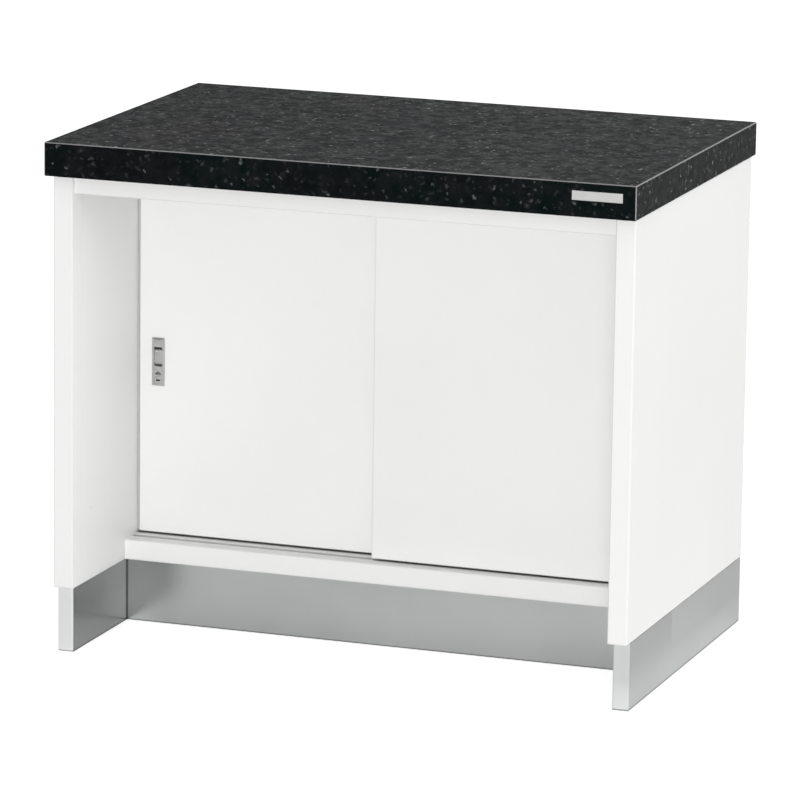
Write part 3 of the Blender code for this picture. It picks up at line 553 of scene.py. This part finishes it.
def makePull(side):
    look = pullLook
    low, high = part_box(side + "_pull")

    def at(height, x=0.0, depth=0.0):
        return Vector(((low.x + high.x) / 2 + x, low.y + depth, low.z + height))

    bm = bmesh.new()
    middle = look["height"] / 2
    outer = boxRing(bm, at(middle), look["width"], look["height"], look["corner"])
    holes = []
    for key in ("topSlot", "thumb", "pocket"):
        hole = look[key]
        corner = min(look["holeCorner"], hole["height"] * look["holeCornerShare"])
        ring = boxRing(bm, at(hole["at"]), hole["width"], hole["height"], corner)
        holes.append((ring, hole["depth"]))
    marks, arch = look["marks"], look["arch"]
    for x in marks["places"]:
        ring = roundRing(bm, at(marks["at"], x), marks["radius"], look["markSteps"])
        holes.append((ring, marks["depth"]))
    holes.append((archRing(bm, at(arch["at"]), arch["width"], arch["height"]), arch["depth"]))
    bore = roundRing(bm, at(look["lockAt"]), look["bore"], look["boreSteps"])
    fill(bm, outer, bore, *(ring for ring, _ in holes))
    for ring, depth in holes:
        sink(bm, ring, depth)
    plateBack = sink(bm, outer, look["plate"], close=False)
    inset = look["bodyInset"]
    body = boxRing(bm, at(middle, 0, look["plate"]), look["width"] - 2 * inset,
                   look["height"] - 2 * inset, look["corner"])
    fill(bm, plateBack, body)
    bodyBack = sink(bm, body, look["bodyDepth"] - look["plate"], close=False)
    boreBack = sink(bm, bore, look["bodyDepth"], close=False)
    fill(bm, bodyBack, boreBack)
    bmesh.ops.recalc_face_normals(bm, faces=bm.faces)
    soften(bm, look["softEdge"], 2)

    flap = look["flap"]                         # covers the pocket, its ends curled in for a finger
    plate = bmesh.new()
    half, start = flap["height"] / 2, flap["curlFrom"]
    bmesh.ops.create_cube(plate, size=1, matrix=Matrix.Diagonal(
        (flap["width"], flap["thick"], flap["height"], 1)))
    tall = [e for e in plate.edges if abs(e.verts[0].co.z - e.verts[1].co.z) > half]
    bmesh.ops.subdivide_edges(plate, edges=tall, cuts=flap["cuts"], use_grid_fill=True)
    for v in plate.verts:
        past = max(abs(v.co.z) / half - start, 0) / (1 - start)
        v.co.y += flap["curl"] * past ** 2 * (1 if v.co.z > 0 else flap["lowCurl"])
    soften(plate, look["flapEdge"], 2, look["flapEdgeAngle"])
    absorb(bm, plate, Matrix.Translation(at(flap["at"], 0, flap["face"] + flap["thick"] / 2)))

    inner, rim, deep = look["bore"] - look["collarLip"], look["collar"], look["collarSink"]
    mouth, crown, shoulder, bend, drop = look["collarBend"]
    collar = [(inner, deep), (inner, mouth), (look["bore"] + crown, -look["collarRise"]),
              (rim - shoulder, 0), (rim - bend, drop), (rim, deep)]
    absorb(bm, turned(collar, look["collarSteps"], closed=True),
           Matrix.Translation(at(look["lockAt"])))
    return newPiece(side + "PullCasting", bm, side + "_door", "nickel", (side + "_pull",),
                    castFinish)


for side in sides:
    makePull(side)
print("pulls cast")


rollerLook = {                                  # half of the section: radius and half width
    "half": [(2.3, 4.0), (4.2, 4.0), (4.6, 3.6), (4.9, 2.1), (9.0, 2.1), (9.4, 3.2), (9.8, 3.6),
             (11.2, 3.6), (11.8, 3.1), (12.0, 2.3)],
    "steps": 56,
}


def makeRoller(node, body):
    low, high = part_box(node)
    half = [(r * mm, w * mm) for r, w in rollerLook["half"]]
    profile = half + [(r, -w) for r, w in reversed(half)]
    bm = turned(profile, rollerLook["steps"], closed=True)
    bmesh.ops.translate(bm, verts=bm.verts, vec=(low + high) / 2)
    return newPiece(body.replace("_roller_", "DoorWheel"), bm, body, "white_plastic", (node,),
                    finishes["wheel"])


for side in sides:
    for number in "12":
        makeRoller(side + "_door_roller_" + number, side + "_roller_" + number)
print("wheels turned")


labelLook = {"border": 0.7 * mm, "sink": 0.18 * mm, "slope": 0.15 * mm, "soft": 0.105 * mm,
             "softAngle": 60}


def makeLabel():                                # left bare: a plain plate with a fine border
    look = labelLook
    low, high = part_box("blank_plate")
    size = high - low
    bm = bmesh.new()
    bmesh.ops.create_cube(bm, size=1, matrix=Matrix.Translation((low + high) / 2)
                          @ Matrix.Diagonal((*size, 1)))
    front = min(bm.faces, key=lambda f: f.calc_center_median().y)
    bmesh.ops.inset_individual(bm, faces=[front], thickness=look["border"], depth=0)
    bmesh.ops.inset_individual(bm, faces=[front], thickness=look["slope"], depth=-look["sink"])
    soften(bm, look["soft"], 2, look["softAngle"])
    return newPiece("labelPlate", bm, "cabinet", "nickel", ("blank_plate",), finishes["label"])


makeLabel()
print("label plate made")


screwLook = {
    "head": 3.4 * mm, "rise": 1.7 * mm, "cross": 3.2 * mm, "crossWidth": 0.8 * mm,
    "crossDepth": 1.0 * mm, "steps": 24, "flat": 0.62,
    "dome": ((0.80, 0.90), (0.93, 0.66), (1.0, 0.35), (1.0, -0.1)),
    "back": (0.398, 0.286), "backZ": (0.135, 0.245, 0.355, 0.465, 0.575, 0.668),
    "twist": (17, 41),
}


def crossRing(bm, reach, width):                # outline of the driver's cross
    made = bmesh.ops.create_grid(bm, x_segments=3, y_segments=3, size=0.5,
                                 matrix=upright((0, 0, 0)))
    verts = made["verts"]
    between = 0.3                               # between the grid's inner and outer lines
    for v in verts:
        for axis in (0, 2):
            outside = abs(v.co[axis]) > between
            v.co[axis] = math.copysign(reach / 2 if outside else width / 2, v.co[axis])
    faces = list({f for v in verts for f in v.link_faces})
    corners = [f for f in faces if min(abs(f.calc_center_median().x),
                                       abs(f.calc_center_median().z)) > width / 2]
    bmesh.ops.delete(bm, geom=corners, context="FACES")
    faces = [f for f in faces if f.is_valid]
    ring = [e for f in faces for e in f.edges if len(e.link_faces) == 1]
    bmesh.ops.delete(bm, geom=faces, context="FACES_ONLY")
    inner = [e for e in bm.edges if not e.link_faces and e not in ring]
    bmesh.ops.delete(bm, geom=inner, context="EDGES")
    return [e for e in ring if e.is_valid]


def screwShell():                               # a pan head that faces -Y, its base at the origin
    look = screwLook
    bm = bmesh.new()
    cross = crossRing(bm, look["cross"], look["crossWidth"])
    bmesh.ops.translate(bm, verts=list({v for e in cross for v in e.verts}),
                        vec=(0, -look["rise"], 0))
    rim = roundRing(bm, (0, -look["rise"], 0), look["head"] * look["flat"], look["steps"])
    fill(bm, cross, rim)
    sink(bm, cross, look["crossDepth"])
    for radius, height in look["dome"]:
        made = bmesh.ops.extrude_edge_only(bm, edges=rim)
        verts = [g for g in made["geom"] if isinstance(g, bmesh.types.BMVert)]
        for v in verts:
            flat = Vector((v.co.x, 0, v.co.z)).normalized() * look["head"] * radius
            v.co = Vector((flat.x, -look["rise"] * height, flat.z))
        rim = [e for e in bm.edges if set(e.verts) <= set(verts)]
    bmesh.ops.triangle_fill(bm, use_beauty=True, use_dissolve=True, edges=rim)
    bmesh.ops.recalc_face_normals(bm, faces=bm.faces)
    return bm


def makeScrews(name, places):                   # places are (position, turn about Z, twist)
    bm = bmesh.new()
    for position, turn, twist in places:
        absorb(bm, screwShell(), Matrix.Translation(position)
               @ Matrix.Rotation(math.radians(turn), 4, "Z")
               @ Matrix.Rotation(math.radians(twist), 4, "Y"))
    return newPiece(name, bm, "cabinet", "zinc_steel")


def backPlaces():                               # two columns of screws, each twisted its own way
    x, y = screwLook["back"]
    first, step = screwLook["twist"]
    return [((sign * x, y, z), 180, first + step * index * sign)
            for index, z in enumerate(screwLook["backZ"]) for sign in sides.values()]


makeScrews("backScrews", backPlaces())
print("screws set")


capLook = {
    "radius": 2.4 * mm, "rise": 0.5 * mm, "back": 0.072, "z": 0.2085, "steps": 28,
    "section": ((0, -1), (0.6, -0.92), (0.88, -0.6), (1, 0), (1, 0.4), (0, 0.4)),
}


def makePanelCap(side):                         # small cap on the inner face of a side panel
    look = capLook
    sign = sides[side]
    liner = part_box(side + "_side_liner")
    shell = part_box(side + "_side_shell")
    inner = liner[0].x if sign > 0 else liner[1].x
    profile = [(look["radius"] * r, look["rise"] * h) for r, h in look["section"]]
    bm = turned(profile, look["steps"])
    spot = Matrix.Translation((inner, shell[0].y + look["back"], look["z"]))
    bmesh.ops.transform(bm, verts=bm.verts,
                        matrix=spot @ Matrix.Rotation(math.radians(-90 * sign), 4, "Z"))
    return newPiece(side + "PanelCap", bm, "cabinet", "white_plastic")


for side in sides:
    makePanelCap(side)
print("panel caps set")


stageLook = {"half": 60, "squares": 8, "drop": 0.0002, "tone": 0.76, "toneRange": 0.005,
             "speckle": (30, 3), "seen": 0.68, "mirrored": 0.20}


def seenRays(wire):                             # from the camera, and by way of a mirror or glass
    rays = wire.node("LightPath", output="Is Camera Ray")
    return rays, rays.other("Is Glossy Ray").larger(rays.other("Is Transmission Ray"))


def makeFloor():
    look = stageLook
    material, wire, place = startMaterial("paleFloor")
    speckle = place.noise(*look["speckle"]).tint(grey(look["tone"] - look["toneRange"]),
                                                 grey(look["tone"] + look["toneRange"]))
    rays, mirrored = seenRays(wire)
    glow = rays * look["seen"] + mirrored * look["mirrored"]
    endMaterial(material, wire, {"Base Color": speckle, "Roughness": 0.9,
                                 "Specular IOR Level": 0.0,
                                 "Emission Color": glow.tint((0, 0, 0), (1, 1, 1)),
                                 "Emission Strength": 1.0})
    bm = bmesh.new()
    bmesh.ops.create_grid(bm, x_segments=look["squares"], y_segments=look["squares"],
                          size=look["half"])
    bmesh.ops.translate(bm, verts=bm.verts, vec=(0, 0, -look["drop"]))
    mesh = bpy.data.meshes.new("studioFloor")
    bm.to_mesh(mesh)
    bm.free()
    floor = bpy.data.objects.new("studioFloor", mesh)
    scene.collection.objects.link(floor)
    mesh.materials.append(material)


worldLook = {"light": 0.52, "seen": 1.0}


def makeWorld():
    world = bpy.data.worlds.new("studioWorld")
    world.use_nodes = True
    world.node_tree.nodes.clear()
    wire = Wire(world.node_tree)
    rays, mirrored = seenRays(wire)
    strength = rays.larger(mirrored).spread(worldLook["light"], worldLook["seen"])
    sky = wire.node("Background", {}, {"Color": (1, 1, 1, 1), "Strength": strength})
    wire.node("OutputWorld", {}, {"Surface": sky})
    scene.world = world


lampAim = (0, 0, 0.4)
lampLooks = {
    "frontLamp": {"place": (2.4, -12.5, 0.95), "size": (6.0, 1.6), "power": 742},
    "sideLamp": {"place": (11.8, -1.5, 2.2), "size": (4.4, 3.8), "power": 605},
}


def makeLamp(name, look):
    lamp = bpy.data.lights.new(name, "AREA")
    lamp.shape = "RECTANGLE"
    lamp.size, lamp.size_y = look["size"]
    lamp.energy = look["power"]
    holder = bpy.data.objects.new(name, lamp)
    scene.collection.objects.link(holder)
    aim = Vector(lampAim) - Vector(look["place"])
    holder.location = look["place"]
    holder.rotation_euler = aim.to_track_quat("-Z", "Y").to_euler()


cameraLook = {"lens": 249.92, "sensor": 36, "clip": (0.05, 300),
              "place": (2.7092, -7.6079, 2.1251), "turn": 19.626, "tilt": 12.291, "roll": 0.772}


def makeCamera():
    look = cameraLook
    data = bpy.data.cameras.new("camera")
    data.sensor_width = look["sensor"]
    data.lens = look["lens"]
    data.clip_start, data.clip_end = look["clip"]
    camera = bpy.data.objects.new("camera", data)
    scene.collection.objects.link(camera)
    camera.matrix_world = (Matrix.Translation(look["place"])
                           @ Matrix.Rotation(math.radians(look["turn"]), 4, "Z")
                           @ Matrix.Rotation(math.radians(90 - look["tilt"]), 4, "X")
                           @ Matrix.Rotation(math.radians(look["roll"]), 4, "Z"))
    scene.camera = camera


makeFloor()
makeWorld()
for name, look in lampLooks.items():
    makeLamp(name, look)
makeCamera()
scene.view_settings.view_transform = "Standard"
print("floor, lights and camera set")
